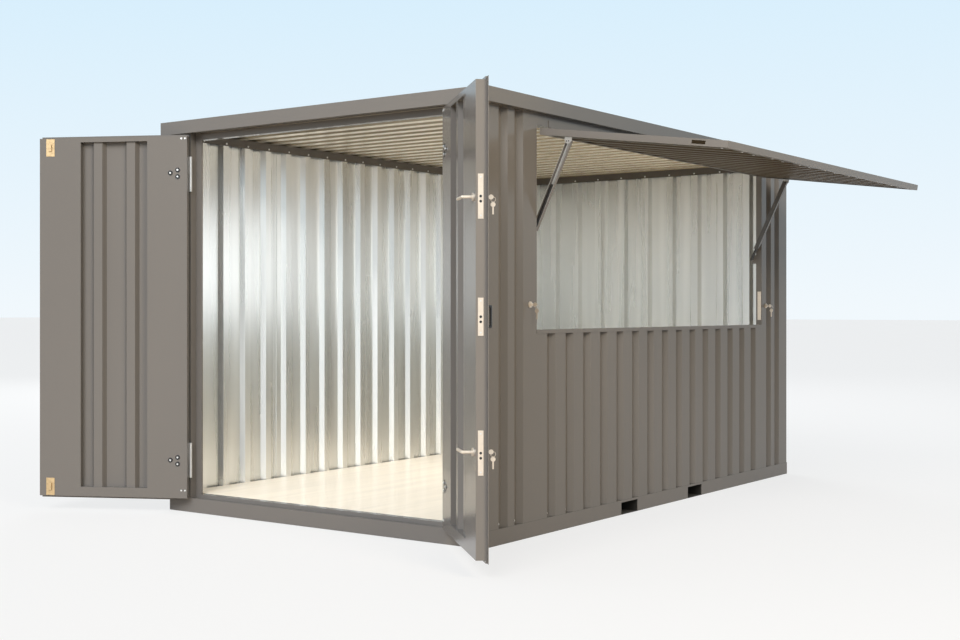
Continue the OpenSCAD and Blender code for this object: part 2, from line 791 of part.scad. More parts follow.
// Ear on the flap's inner face beside each strut, with the pin for the rod's eye
module flap_brackets() {
    x0 = strut_x + guard_d / 2 + seat_gap;
    y0 = flap_y0 + flap_d;
    z = flap_axis_z - upper_down;
    color(steel) open_flap() both_ends() {
        translate([x0, y0, z - 20]) cube([ear_t, upper_off, 40]);
        translate([x0, flap_axis_y + upper_in, z]) rotate([0, 90, 0]) cylinder(r = 14, h = ear_t);
        translate([strut_x - 8, flap_axis_y + upper_in, z]) rotate([0, 90, 0])
            cylinder(r = flap_pin_r, h = x0 - strut_x + 8 + ear_t);
    }
}

// Gas struts: upper pivot at the origin, the strut running down along -Z, the jamb on the +X side

module on_strut() {
    translate([strut_x, upper_y, upper_z]) rotate([strut_tilt, 0, 0]) children();
}

module strut_rod() {
    difference() {
        union() {
            translate([-guard_d / 2 + guard_t, 0, 0]) rotate([0, 90, 0])
                cylinder(r = eye_r, h = guard_d - guard_t);
            translate([0, 0, -strut_len + cylinder_len - 60]) cylinder(r = rod_r, h = strut_len - cylinder_len + 55);
        }
        translate([-guard_d, 0, 0]) rotate([0, 90, 0]) cylinder(r = flap_pin_r + run_gap, h = 2 * guard_d);
    }
    translate([-guard_d / 2, -guard_w / 2, -guard_len]) difference() {
        cube([guard_d, guard_w, guard_len + 6]);
        translate([guard_t, guard_t, -1]) cube([guard_d, guard_w - 2 * guard_t, guard_len + 8]);
    }
}

module strut_cylinder() {
    translate([0, 0, -strut_len]) {
        difference() {
            cylinder(r = cylinder_r, h = cylinder_len);
            translate([0, 0, cylinder_foot]) cylinder(r = rod_r + run_gap, h = cylinder_len);
        }
        rotate([0, 90, 0]) cylinder(r = eye_r, h = guard_d / 2);
    }
}

module near_strut_rod() {
    color(paint) at_hatch() mirror([1, 0, 0]) on_strut() strut_rod();
}

module near_strut_cylinder() {
    color(black) at_hatch() mirror([1, 0, 0]) on_strut() strut_cylinder();
}

module far_strut_rod() {
    color(paint) at_hatch() on_strut() strut_rod();
}

module far_strut_cylinder() {
    color(black) at_hatch() on_strut() strut_cylinder();
}

base_side_rails();
base_end_rails();
fork_channels();
floor_joists();
floor_panel();
door_posts();
far_posts();
back_wall();
far_end_wall();
hatch_side_near_panel();
hatch_side_far_panel();
hatch_side_lower_panel();
hatch_sill();
hatch_jambs();
hatch_header();
door_header();
door_threshold();
eaves_angles();
roof_side_fascias();
roof_end_fascias();
roof_sheet();
door_hinge_pins();
flap_hinge_pins();
strut_studs();
hatch_locks();
left_leaf() leaf_skin();  // left_leaf_skin
left_leaf() leaf_stiles();  // left_leaf_stiles
left_leaf() leaf_rails();  // left_leaf_rails
left_leaf() leaf_hinges();  // left_leaf_hinges
left_leaf() leaf_bolts();  // left_leaf_bolts
right_leaf() {  // right_leaf_skin
    leaf_skin();
    color(paint) cover_strip();
}
right_leaf() leaf_stiles();  // right_leaf_stiles
right_leaf() leaf_rails();  // right_leaf_rails
right_leaf() leaf_hinges();  // right_leaf_hinges
right_leaf() leaf_locks();  // right_leaf_locks
right_leaf() pull_handle();  // right_pull_handle
right_leaf() lever(upper_lock_z);  // upper_lever
right_leaf() lever(lower_lock_z);  // lower_lever
flap_sheet();
flap_frame();
flap_hinges();
flap_brackets();
near_strut_rod();
near_strut_cylinder();
far_strut_rod();
far_strut_cylinder();
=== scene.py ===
"""Looks of the flat-pack kiosk: finishes, small fixings, keys, and the studio round it.

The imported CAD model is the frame. This script colours its nodes, adds what is too small for
the CAD, and sets up a camera at the photo's angle. Lengths are in metres.
"""

from __future__ import annotations

import json
import logging
import math
from abc import ABC, abstractmethod
from dataclasses import dataclass, field
from enum import Enum
from typing import Any, Callable, Iterable, Optional, Sequence, Union

import bmesh
import bpy
from mathutils import Matrix, Vector

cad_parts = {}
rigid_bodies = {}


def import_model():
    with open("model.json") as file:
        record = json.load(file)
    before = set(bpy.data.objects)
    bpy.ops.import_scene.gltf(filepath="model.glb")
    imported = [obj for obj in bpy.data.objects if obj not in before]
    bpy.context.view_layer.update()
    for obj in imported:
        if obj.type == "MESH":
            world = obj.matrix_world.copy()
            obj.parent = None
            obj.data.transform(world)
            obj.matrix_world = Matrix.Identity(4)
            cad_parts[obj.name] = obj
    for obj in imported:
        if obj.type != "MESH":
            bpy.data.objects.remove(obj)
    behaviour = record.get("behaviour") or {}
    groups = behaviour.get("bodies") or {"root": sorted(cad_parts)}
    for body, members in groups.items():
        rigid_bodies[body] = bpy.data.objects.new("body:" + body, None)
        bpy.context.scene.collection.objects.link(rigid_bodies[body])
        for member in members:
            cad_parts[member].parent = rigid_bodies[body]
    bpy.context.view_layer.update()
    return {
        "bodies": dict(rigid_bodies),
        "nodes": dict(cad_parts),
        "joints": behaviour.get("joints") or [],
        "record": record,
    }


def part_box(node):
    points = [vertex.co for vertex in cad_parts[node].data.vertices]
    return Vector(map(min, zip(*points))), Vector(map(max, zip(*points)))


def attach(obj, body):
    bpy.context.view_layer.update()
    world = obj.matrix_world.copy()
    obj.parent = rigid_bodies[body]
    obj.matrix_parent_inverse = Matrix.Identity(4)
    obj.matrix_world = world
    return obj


LOG = logging.getLogger("kiosk")

Colour = tuple[float, float, float]
Place = tuple[float, float, float]
Span = tuple[float, float]
Frame = dict[str, Any]
Given = Union[bpy.types.NodeSocket, float, Sequence[float]]

EVEN: Place = (1.0, 1.0, 1.0)
NOISE_SPAN: Span = (0.2, 0.8)
SMOOTHEST = 0.02
COAT_ROUGHNESS = 0.05
HEADS_TREE = "fixing_heads"

# Sockets of the Mix node in its colour mode
MIX_FACTOR, MIX_LOW, MIX_HIGH, MIX_RESULT = 0, 6, 7, 2


class Pattern(Enum):
    """What a finish does across its surface."""

    PLAIN = "plain"
    PAINT = "paint"
    STREAKS = "streaks"
    BOARDS = "boards"
    BRUSHED = "brushed"


class Head(Enum):
    """Kinds of fixing, as the number of sides of the head."""

    HEX = 6
    PAN = 20


class Side(Enum):
    """The two door leaves; the value is the sign of their place along Y."""

    LEFT = 1
    RIGHT = -1


@dataclass(frozen=True)
class Grain:
    """Noise in object coordinates.

    Attributes:
        scale: Cells per metre.
        detail: Octaves.
        stretch: Factor along each axis.
    """

    scale: float
    detail: float = 0.0
    stretch: Place = EVEN


PAINT_CLOUDS = Grain(scale=1.6, detail=1.0, stretch=(1.0, 1.0, 0.6))
PAINT_WAVES = Grain(scale=2.2, stretch=(1.0, 1.0, 0.6))
ZINC_STREAKS = Grain(scale=11.0, detail=1.0, stretch=(1.0, 1.0, 0.05))
ZINC_WAVES = Grain(scale=5.0, stretch=(1.0, 1.0, 0.12))
WOOD_GRAIN = Grain(scale=4.0, detail=6.0, stretch=(0.25, 6.0, 1.0))
POLISH = Grain(scale=60.0, detail=2.0)


@dataclass
class Graph:
    """Small helper that adds nodes to a node tree.

    Attributes:
        tree: The node tree.
    """

    tree: bpy.types.NodeTree
    _coords: Optional[bpy.types.NodeSocket] = field(default=None, repr=False)

    def feed(self, target: bpy.types.NodeSocket, given: Given) -> None:
        """Sets an input to a plain value, or links it where a socket is given.

        Args:
            target: Input socket.
            given: Value or output socket.
        """
        if isinstance(given, bpy.types.NodeSocket):
            self.tree.links.new(given, target)
        else:
            target.default_value = given

    def add(
        self, kind: str, given: Optional[dict[Union[str, int], Given]] = None, **settings: str
    ) -> bpy.types.Node:
        """Adds a node, sets it up and feeds its inputs.

        Args:
            kind: The node's type.
            given: What the inputs get, by their names or numbers.
            settings: The node's own settings.

        Returns:
            The node.
        """
        node = self.tree.nodes.new(kind)
        for label, setting in settings.items():
            setattr(node, label, setting)
        for label, value in (given or {}).items():
            self.feed(node.inputs[label], value)
        return node

    def place(self, stretch: Place = EVEN) -> bpy.types.NodeSocket:
        """Object coordinates, stretched.

        Args:
            stretch: Factor along each axis.

        Returns:
            Socket with the vector.
        """
        if self._coords is None:
            self._coords = self.add("ShaderNodeTexCoord").outputs["Object"]
        mapping = self.add("ShaderNodeMapping", {"Vector": self._coords, "Scale": stretch})
        return mapping.outputs["Vector"]

    def noise(self, grain: Grain) -> bpy.types.NodeSocket:
        """Noise in object coordinates, with values round a half."""
        given = {"Vector": self.place(grain.stretch), "Scale": grain.scale, "Detail": grain.detail}
        return self.add("ShaderNodeTexNoise", given).outputs["Fac"]

    def boards(self, length: float, width: float, joint: float) -> bpy.types.NodeSocket:
        """Boards in a running bond.

        Args:
            length: Board length.
            width: Board width.
            joint: Joint width.

        Returns:
            Socket that is 1 on the boards and 0 in the joints.
        """
        given = {
            "Vector": self.place(),
            "Scale": 1.0,
            "Brick Width": length,
            "Row Height": width,
            "Mortar Size": joint,
        }
        joints = self.add("ShaderNodeTexBrick", given).outputs["Fac"]
        return self.combine("SUBTRACT", 1.0, joints)

    def combine(self, operation: str, first: Given, second: Given) -> bpy.types.NodeSocket:
        """Works out one number from two, by an operation of the Math node."""
        return self.add("ShaderNodeMath", {0: first, 1: second}, operation=operation).outputs[0]

    def colour_mix(self, factor: bpy.types.NodeSocket, low: Given, high: Given) -> bpy.types.NodeSocket:
        """A colour between two others, low where the factor is 0 and high where it is 1."""
        given = {MIX_FACTOR: factor, MIX_LOW: low, MIX_HIGH: high}
        return self.add("ShaderNodeMix", given, data_type="RGBA").outputs[MIX_RESULT]

    def map_range(
        self, value: bpy.types.NodeSocket, source: Span, result: Span = (0.0, 1.0)
    ) -> bpy.types.NodeSocket:
        """Carries a value from one range to another, and holds it at the ends.

        Args:
            value: Socket with the value.
            source: Range that it comes from.
            result: Range that it goes to.

        Returns:
            Socket with the result.
        """
        labels = ("From Min", "From Max", "To Min", "To Max")
        given = {"Value": value, **dict(zip(labels, (*source, *result)))}
        return self.add("ShaderNodeMapRange", given).outputs["Result"]

    def seen_rays(self) -> bpy.types.NodeSocket:
        """Rays that see the background: from the camera, from mirrors and through glass.

        Returns:
            Socket that is 1 for those rays.
        """
        path = self.add("ShaderNodeLightPath")
        seen = path.outputs["Is Camera Ray"]
        for label in ("Is Glossy Ray", "Is Transmission Ray"):
            seen = self.combine("MAXIMUM", seen, path.outputs[label])
        return seen

    def bump(
        self, shader: bpy.types.Node, height: bpy.types.NodeSocket, strength: float, distance: float
    ) -> None:
        """Bumps a shader's normal by a height from 0 to 1, which stands for the distance."""
        given = {"Height": height, "Strength": strength, "Distance": distance}
        self.feed(shader.inputs["Normal"], self.add("ShaderNodeBump", given).outputs["Normal"])


@dataclass(frozen=True)
class Finish:
    """One finish, built as a procedural material.

    Attributes:
        name: Material name.
        slot: Material slot of the record that the finish belongs to.
        colour: Base colour, linear.
        roughness: Mean roughness.
        metallic: Metallic share.
        coat: Weight of a clear coat.
        pattern: What varies across the surface.
        vary: How far the colour varies, as a share.
        shine: Level of the surface's own mirror share; a half is plain.
    """

    name: str
    slot: str
    colour: Colour
    roughness: float
    metallic: float = 0.0
    coat: float = 0.0
    pattern: Pattern = Pattern.PLAIN
    vary: float = 0.0
    shine: float = 0.5

    def build(self) -> bpy.types.Material:
        """Makes the material, or returns it if it is there.

        Returns:
            The material.
        """
        found = bpy.data.materials.get(self.name)
        if found is not None:
            return found
        material = bpy.data.materials.new(self.name)
        material.use_nodes = True
        material.diffuse_color = (*self.colour, 1.0)
        graph = Graph(material.node_tree)
        shader = graph.tree.nodes["Principled BSDF"]
        constants: dict[str, Given] = {
            "Base Color": (*self.colour, 1.0),
            "Roughness": self.roughness,
            "Metallic": self.metallic,
            "Coat Weight": self.coat,
            "Coat Roughness": COAT_ROUGHNESS,
            "Specular IOR Level": self.shine,
        }
        for label, value in constants.items():
            graph.feed(shader.inputs[label], value)
        recipes: dict[Pattern, Callable[[Graph, bpy.types.Node], None]] = {
            Pattern.PAINT: self._paint,
            Pattern.STREAKS: self._streaks,
            Pattern.BOARDS: self._boards,
            Pattern.BRUSHED: self._brushed,
        }
        recipe = recipes.get(self.pattern)
        if recipe is not None:
            recipe(graph, shader)
        return material

    def _shade(self, share: float) -> tuple[float, float, float, float]:
        """The base colour made lighter or darker by a share, with full opacity."""
        return (*(min(1.0, c * (1.0 + share)) for c in self.colour), 1.0)

    def _spread(self, graph: Graph, shader: bpy.types.Node, grain: Grain, rough: float) -> None:
        """Varies colour and roughness by one noise.

        Args:
            graph: The material's nodes.
            shader: The shader.
            grain: The noise.
            rough: How far the roughness goes each way.
        """
        factor = graph.noise(grain)
        colour = graph.colour_mix(factor, self._shade(-self.vary), self._shade(self.vary))
        graph.feed(shader.inputs["Base Color"], colour)
        span = (max(SMOOTHEST, self.roughness - rough), self.roughness + rough)
        graph.feed(shader.inputs["Roughness"], graph.map_range(factor, NOISE_SPAN, span))

    def _paint(self, graph: Graph, shader: bpy.types.Node) -> None:
        """Gloss paint on sheet: a faint cloudiness and the sheet's slow waves."""
        self._spread(graph, shader, PAINT_CLOUDS, rough=0.03)
        graph.bump(shader, graph.noise(PAINT_WAVES), strength=0.015, distance=0.02)

    def _streaks(self, graph: Graph, shader: bpy.types.Node) -> None:
        """Galvanised sheet: long upright streaks and the sheet's slow waves."""
        self._spread(graph, shader, ZINC_STREAKS, rough=0.05)
        graph.bump(shader, graph.noise(ZINC_WAVES), strength=0.015, distance=0.02)

    def _boards(self, graph: Graph, shader: bpy.types.Node) -> None:
        """Pale boards: long grain and fine joints.

        Args:
            graph: The material's nodes.
            shader: The shader.
        """
        self._spread(graph, shader, WOOD_GRAIN, rough=0.05)
        boards = graph.boards(length=1.25, width=0.2, joint=0.0012)
        graph.bump(shader, boards, strength=0.25, distance=0.001)

    def _brushed(self, graph: Graph, shader: bpy.types.Node) -> None:
        """Small metal fittings: a fine uneven polish."""
        self._spread(graph, shader, POLISH, rough=0.06)


PAINT = Finish(
    "grey_paint", "paint", (0.136, 0.130, 0.125), roughness=0.20,
    pattern=Pattern.PAINT, vary=0.03, shine=0.30,
)
DARK_PAINT = Finish(
    "dark_coat", "dark_paint", (0.085, 0.075, 0.064), roughness=0.40, pattern=Pattern.PAINT, vary=0.04
)
GALVANISED = Finish(
    "zinc_sheet", "galvanised", (0.81, 0.815, 0.785), roughness=0.28, metallic=0.90,
    pattern=Pattern.STREAKS, vary=0.24,
)
TIMBER = Finish(
    "pale_boards", "timber", (0.86, 0.80, 0.69), roughness=0.50, coat=0.1, pattern=Pattern.BOARDS, vary=0.16
)
LOCK_METAL = Finish(
    "satin_brass", "lock_metal", (0.70, 0.62, 0.53), roughness=0.34, metallic=0.6,
    pattern=Pattern.BRUSHED, vary=0.10,
)
BLACK = Finish("black_gloss", "cylinder_black", (0.012, 0.012, 0.012), roughness=0.22, coat=0.3)
STEEL = Finish(
    "plated_steel", "bright_steel", (0.72, 0.72, 0.71), roughness=0.35, metallic=0.75,
    pattern=Pattern.BRUSHED, vary=0.06,
)
# Painted shade: near-black on the fork channels stands in for the shade inside the fork pockets.
POCKET_SHADE = Finish("pocket_paint", "dark_paint", (0.012, 0.011, 0.009), roughness=0.9)
# Painted shade: the far strut's guard is the near guard's grey paint made darker for the flap's shadow on
# it.
GUARD_SHADE = Finish("guard_paint", "paint", (0.06, 0.056, 0.052), roughness=0.25, coat=0.1)
# Painted shade: the flap's underside is its grey paint made darker and browner, with less mirror share, for
# its shade and the warm light thrown up from inside.
FLAP_UNDERSIDE_SHADE = Finish(
    "flap_inside", "paint", (0.105, 0.094, 0.078), roughness=0.35,
    pattern=Pattern.PAINT, vary=0.03, shine=0.10,
)
BOLT_BRASS = Finish(
    "bolt_brass", "lock_metal", (0.52, 0.38, 0.21), roughness=0.40, metallic=0.5,
    pattern=Pattern.BRUSHED, vary=0.30,
)
# Painted reflection: the roof's underside is zinc tinted warm for the pale boards that it mirrors.
CEILING_PAINTED_REFLECTION = Finish("roof_inside", "galvanised", (0.92, 0.85, 0.71), roughness=0.30, metallic=0.88)
# Painted shade: the flanks of the roof's ribs are zinc made much darker for the shade in the folds.
CEILING_FOLD_SHADE = Finish("roof_fold", "galvanised", (0.34, 0.29, 0.21), roughness=0.35, metallic=0.80)

SLOT_FINISHES: dict[str, Finish] = {
    finish.slot: finish for finish in (PAINT, DARK_PAINT, GALVANISED, TIMBER, LOCK_METAL, BLACK, STEEL)
}


@dataclass(frozen=True)
class FixingKind:
    """One kind of fixing.

    Attributes:
        finish: Finish of its head.
        head: Form of its head.
        radius: Radius of the head.
        height: Height of the head.
    """

    finish: Finish
    head: Head
    radius: float
    height: float


WALL_SCREW = FixingKind(STEEL, Head.HEX, radius=0.006, height=0.004)
HINGE_WASHER = FixingKind(BLACK, Head.PAN, radius=0.014, height=0.002)
HINGE_NUT = FixingKind(STEEL, Head.HEX, radius=0.0055, height=0.008)
LEAF_RIVET = FixingKind(STEEL, Head.PAN, radius=0.005, height=0.002)
PLATE_SCREW = FixingKind(STEEL, Head.PAN, radius=0.004, height=0.001)
# Painted shade: thin black discs stand in for the dark inside of the lock plates' bolt holes.
PLATE_HOLE_SHADE = FixingKind(BLACK, Head.PAN, radius=0.006, height=0.0005)
FLAP_SCREW = FixingKind(STEEL, Head.PAN, radius=0.006, height=0.003)
BRACKET_BOLT = FixingKind(BLACK, Head.HEX, radius=0.0035, height=0.003)


def add_object(name: str, mesh: bpy.types.Mesh, body: str, finish: Finish) -> bpy.types.Object:
    """Adds a mesh that rides on a CAD body.

    Args:
        name: Object name.
        mesh: Its mesh, in the shared frame.
        body: CAD body.
        finish: Its finish.

    Returns:
        The object.
    """
    mesh.name = name
    if not mesh.materials:
        mesh.materials.append(finish.build())
    thing = bpy.data.objects.new(name, mesh)
    bpy.context.scene.collection.objects.link(thing)
    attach(thing, body)
    return thing


def add_shape(name: str, shape: bmesh.types.BMesh, body: str, finish: Finish) -> bpy.types.Object:
    """Turns a finished shape into a piece on a CAD body.

    Args:
        name: Object name.
        shape: The shape, which is freed.
        body: CAD body.
        finish: Its finish.

    Returns:
        The object.
    """
    mesh = bpy.data.meshes.new(name)
    shape.to_mesh(mesh)
    shape.free()
    return add_object(name, mesh, body, finish)


def add_box(shape: bmesh.types.BMesh, middle: Sequence[float], size: Sequence[float]) -> None:
    """Adds a box to a shape, by its middle and the lengths of its edges."""
    matrix = Matrix.Translation(middle) @ Matrix.Diagonal((*size, 1.0))
    bmesh.ops.create_cube(shape, size=1.0, matrix=matrix)


def joint_of(frame: Frame, body: str) -> dict[str, Any]:
    """The frame's entry for the joint that moves a body."""
    return next(joint for joint in frame["joints"] if joint["child"] == body)


@dataclass(frozen=True)
class Fixings:
    """Equal fixings on one body, placed by a Geometry Nodes tree.

    Attributes:
        name: Object name.
        body: CAD body that carries them.
        kind: Kind of fixing.
        axis: Direction in which the heads point.
        places: Where they sit.
        seed: Seed of the heads' turn about their axis.
    """

    name: str
    body: str
    kind: FixingKind
    axis: Vector
    places: list[Vector]
    seed: int = 7

    @staticmethod
    def tree() -> bpy.types.NodeTree:
        """The node tree that puts a head on each vertex.

        Returns:
            The tree, made once.
        """
        found = bpy.data.node_groups.get(HEADS_TREE)
        if found is not None:
            return found
        tree = bpy.data.node_groups.new(HEADS_TREE, "GeometryNodeTree")
        for label, kind in (
            ("Geometry", "NodeSocketGeometry"),
            ("Axis", "NodeSocketVector"),
            ("Radius", "NodeSocketFloat"),
            ("Height", "NodeSocketFloat"),
            ("Sides", "NodeSocketInt"),
            ("Seed", "NodeSocketInt"),
            ("Material", "NodeSocketMaterial"),
        ):
            tree.interface.new_socket(name=label, in_out="INPUT", socket_type=kind)
        tree.interface.new_socket(name="Geometry", in_out="OUTPUT", socket_type="NodeSocketGeometry")
        graph = Graph(tree)
        given = graph.add("NodeGroupInput").outputs
        points = graph.add("GeometryNodeMeshToPoints", {"Mesh": given["Geometry"]})
        sizes = {"Radius": given["Radius"], "Depth": given["Height"], "Vertices": given["Sides"]}
        head = graph.add("GeometryNodeMeshCylinder", sizes)
        align = graph.add("FunctionNodeAlignRotationToVector", {"Vector": given["Axis"]})
        spin = graph.add("FunctionNodeRandomValue", {"Max": math.pi, "Seed": given["Seed"]})
        turn = graph.add("FunctionNodeAxisAngleToRotation", {"Angle": spin.outputs["Value"]})
        turns = {"Rotation": align.outputs["Rotation"], "Rotate By": turn.outputs["Rotation"]}
        both = graph.add("FunctionNodeRotateRotation", turns, rotation_space="LOCAL")
        heads = {
            "Points": points.outputs["Points"],
            "Instance": head.outputs["Mesh"],
            "Rotation": both.outputs["Rotation"],
        }
        scatter = graph.add("GeometryNodeInstanceOnPoints", heads)
        plain = graph.add("GeometryNodeRealizeInstances", {"Geometry": scatter.outputs["Instances"]})
        coated = {"Geometry": plain.outputs["Geometry"], "Material": given["Material"]}
        coat = graph.add("GeometryNodeSetMaterial", coated)
        graph.add("NodeGroupOutput", {"Geometry": coat.outputs["Geometry"]})
        return tree

    def build(self) -> bpy.types.Object:
        """Runs the tree and keeps the result as a plain mesh on the body.

        Returns:
            The object.
        """
        mesh = bpy.data.meshes.new(self.name + "_places")
        lift = self.axis * (self.kind.height / 2)
        mesh.from_pydata([tuple(place + lift) for place in self.places], [], [])
        source = bpy.data.objects.new(self.name + "_places", mesh)
        bpy.context.scene.collection.objects.link(source)
        modifier = source.modifiers.new("heads", "NODES")
        modifier.node_group = self.tree()
        given: dict[str, Any] = {
            "Axis": tuple(self.axis),
            "Radius": self.kind.radius,
            "Height": self.kind.height,
            "Sides": self.kind.head.value,
            "Seed": self.seed,
            "Material": self.kind.finish.build(),
        }
        for item in modifier.node_group.interface.items_tree:
            if item.item_type == "SOCKET" and item.in_out == "INPUT" and item.name in given:
                modifier[item.identifier] = given[item.name]
        bpy.context.view_layer.update()
        evaluated = source.evaluated_get(bpy.context.evaluated_depsgraph_get())
        plain = bpy.data.meshes.new_from_object(evaluated)
        source.modifiers.clear()
        bpy.data.objects.remove(source)
        bpy.data.meshes.remove(mesh)
        return add_object(self.name, plain, self.body, self.kind.finish)


@dataclass(frozen=True)
class Key:
    """One key: a round bow and as much of its blade as shows.

    Attributes:
        bow: Middle of the bow.
        blade: Middle of the blade.
        size: Edges of the blade.
    """

    bow: Place
    blade: Place
    size: Place


@dataclass(frozen=True)
class KeySet:
    """A key in its cylinder, with a second key hanging from the ring.

    Places are set out from the cylinder's face: outwards, sideways and upwards.

    Attributes:
        name: Object name.
        body: CAD body.
        foot: Middle of the cylinder's outer face.
        out: Direction out of the cylinder.
        held: The key in the cylinder.
        hanging: The key on the ring.
        bow_radius: Radius of a key's bow.
        bow_thick: Thickness of a bow.
        bow_sides: Sides of a bow.
        ring_place: Middle of the ring.
        ring_radius: Radius of the ring.
        wire: Radius of the ring's wire.
        ring_steps: Steps round the ring.
        wire_sides: Sides of the wire.
    """

    name: str
    body: str
    foot: Vector
    out: Vector
    held: Key = Key(bow=(0.017, 0.0, 0.0), blade=(0.003, 0.0, 0.0), size=(0.012, 0.002, 0.006))
    hanging: Key = Key(bow=(0.026, 0.002, -0.032), blade=(0.026, 0.002, -0.058), size=(0.007, 0.002, 0.034))
    bow_radius: float = 0.011
    bow_thick: float = 0.0022
    bow_sides: int = 20
    ring_place: Place = (0.026, 0.0, -0.010)
    ring_radius: float = 0.011
    wire: float = 0.0009
    ring_steps: int = 20
    wire_sides: int = 6

    def build(self) -> bpy.types.Object:
        """Makes the keys.

        Returns:
            The object.
        """
        up = Vector((0, 0, 1))
        sideways = up.cross(self.out).normalized()
        spread = Matrix((self.out, sideways, up)).transposed().to_4x4()
        spread.translation = self.foot
        shape = bmesh.new()
        self._key(shape, self.held)
        self._ring(shape)
        self._key(shape, self.hanging)
        shape.transform(spread)
        return add_shape(self.name, shape, self.body, LOCK_METAL)

    def _key(self, shape: bmesh.types.BMesh, key: Key) -> None:
        """Adds a key: a flat disc that faces sideways, and the blade."""
        bmesh.ops.create_cone(
            shape,
            cap_ends=True,
            segments=self.bow_sides,
            radius1=self.bow_radius,
            radius2=self.bow_radius,
            depth=self.bow_thick,
            matrix=Matrix.Translation(key.bow) @ Matrix.Rotation(math.pi / 2, 4, "X"),
        )
        add_box(shape, key.blade, key.size)

    def _ring(self, shape: bmesh.types.BMesh) -> None:
        """Adds the key ring.

        Args:
            shape: Shape that is being made.
        """
        loops: list[list[bmesh.types.BMVert]] = []
        for step in range(self.ring_steps):
            angle = 2 * math.pi * step / self.ring_steps
            ahead = Vector((math.cos(angle), 0, math.sin(angle)))
            loop = []
            for k in range(self.wire_sides):
                around = 2 * math.pi * k / self.wire_sides
                reach = self.ring_radius + self.wire * math.cos(around)
                sideways = Vector((0, self.wire * math.sin(around), 0))
                loop.append(shape.verts.new(Vector(self.ring_place) + ahead * reach + sideways))
            loops.append(loop)
        for step, here in enumerate(loops):
            there = loops[(step + 1) % self.ring_steps]
            for k in range(self.wire_sides):
                n = (k + 1) % self.wire_sides
                shape.faces.new((here[k], there[k], there[n], here[n]))


class SubAssembly(ABC):
    """A part of the scene that builds and dresses its own pieces."""

    @abstractmethod
    def dress(self) -> list[bpy.types.Object]:
        """Builds and dresses the pieces, and returns them."""


@dataclass(frozen=True)
class CoatOrPaintedLight:
    """A CAD node whose inner side has a finish of its own: a real coat, or painted light or shade.

    Attributes:
        node: CAD node.
        outward: Direction in which its outer side faces.
        inner: Finish of the inner side: a real coat, or painted light or shade.
        fold_shade: Painted shade on the inner side's folded flanks, if they get any.
        edge_on: A face that points inwards by no more than this keeps the outer finish.
        face_on: An inner face that points inwards by less than this is a flank.
    """

    node: str
    outward: Place
    inner: Finish = GALVANISED
    fold_shade: Optional[Finish] = None
    edge_on: float = 0.05
    face_on: float = 0.95

    def apply(self, mesh: bpy.types.Mesh) -> None:
        """Gives each face its coat, or its painted light or shade.

        Args:
            mesh: The node's mesh, which has the outer finish in its first slot.
        """
        mesh.materials.append(self.inner.build())
        if self.fold_shade is not None:
            mesh.materials.append(self.fold_shade.build())
        outward = Vector(self.outward)
        for face in mesh.polygons:
            inward = -face.normal.dot(outward)
            face.material_index = 1 if inward > self.edge_on else 0
            # Flanks of the inner side take the painted shade finish.
            if self.fold_shade is not None and self.edge_on < inward < self.face_on:
                face.material_index = 2


@dataclass(frozen=True)
class NodeFinishes(SubAssembly):
    """The finishes of the CAD nodes.

    Attributes:
        coats_or_painted_light: Nodes whose inner side has a second coat, or painted light or shade.
        own: Nodes whose outer finish isn't their slot's usual one; some of them are painted shade.
    """

    frame: Frame
    coats_or_painted_light: tuple[CoatOrPaintedLight, ...] = (
        CoatOrPaintedLight("back_wall", (0, 1, 0)),
        CoatOrPaintedLight("far_end_wall", (1, 0, 0)),
        CoatOrPaintedLight("hatch_side_near_panel", (0, -1, 0)),
        CoatOrPaintedLight("hatch_side_far_panel", (0, -1, 0)),
        CoatOrPaintedLight("hatch_side_lower_panel", (0, -1, 0)),
        CoatOrPaintedLight("near_strut_rod", (1, 0, 0), STEEL),
        CoatOrPaintedLight("far_strut_rod", (-1, 0, 0), STEEL),
        # Roof underside: painted warm reflection, with painted shade on the rib flanks.
        CoatOrPaintedLight("roof_sheet", (0, 0, 1), CEILING_PAINTED_REFLECTION, CEILING_FOLD_SHADE),
        # Flap underside: painted shade.
        CoatOrPaintedLight("flap_sheet", (0, -0.14, 0.99), FLAP_UNDERSIDE_SHADE),
        CoatOrPaintedLight("flap_frame", (0, -0.14, 0.99), FLAP_UNDERSIDE_SHADE),
    )
    own: tuple[tuple[str, Finish], ...] = (
        # Fork channels: painted shade of the fork pockets.
        ("fork_channels", POCKET_SHADE),
        # Far strut guard: painted shade.
        ("far_strut_rod", GUARD_SHADE),
        ("left_leaf_bolts", BOLT_BRASS),
    )

    def dress(self) -> list[bpy.types.Object]:
        """Gives every node the finish of its slot, then the inner finishes and the finishes of its own,
        some of them painted light or shade.

        Returns:
            The nodes' objects.
        """
        nodes = self.frame["nodes"]
        for subpart in self.frame["record"]["subparts"]:
            materials = nodes[subpart["node"]].data.materials
            materials.clear()
            materials.append(SLOT_FINISHES[subpart["material_slot"]].build())
        for coat in self.coats_or_painted_light:
            coat.apply(nodes[coat.node].data)
        for name, finish in self.own:
            nodes[name].data.materials[0] = finish.build()
        return list(nodes.values())


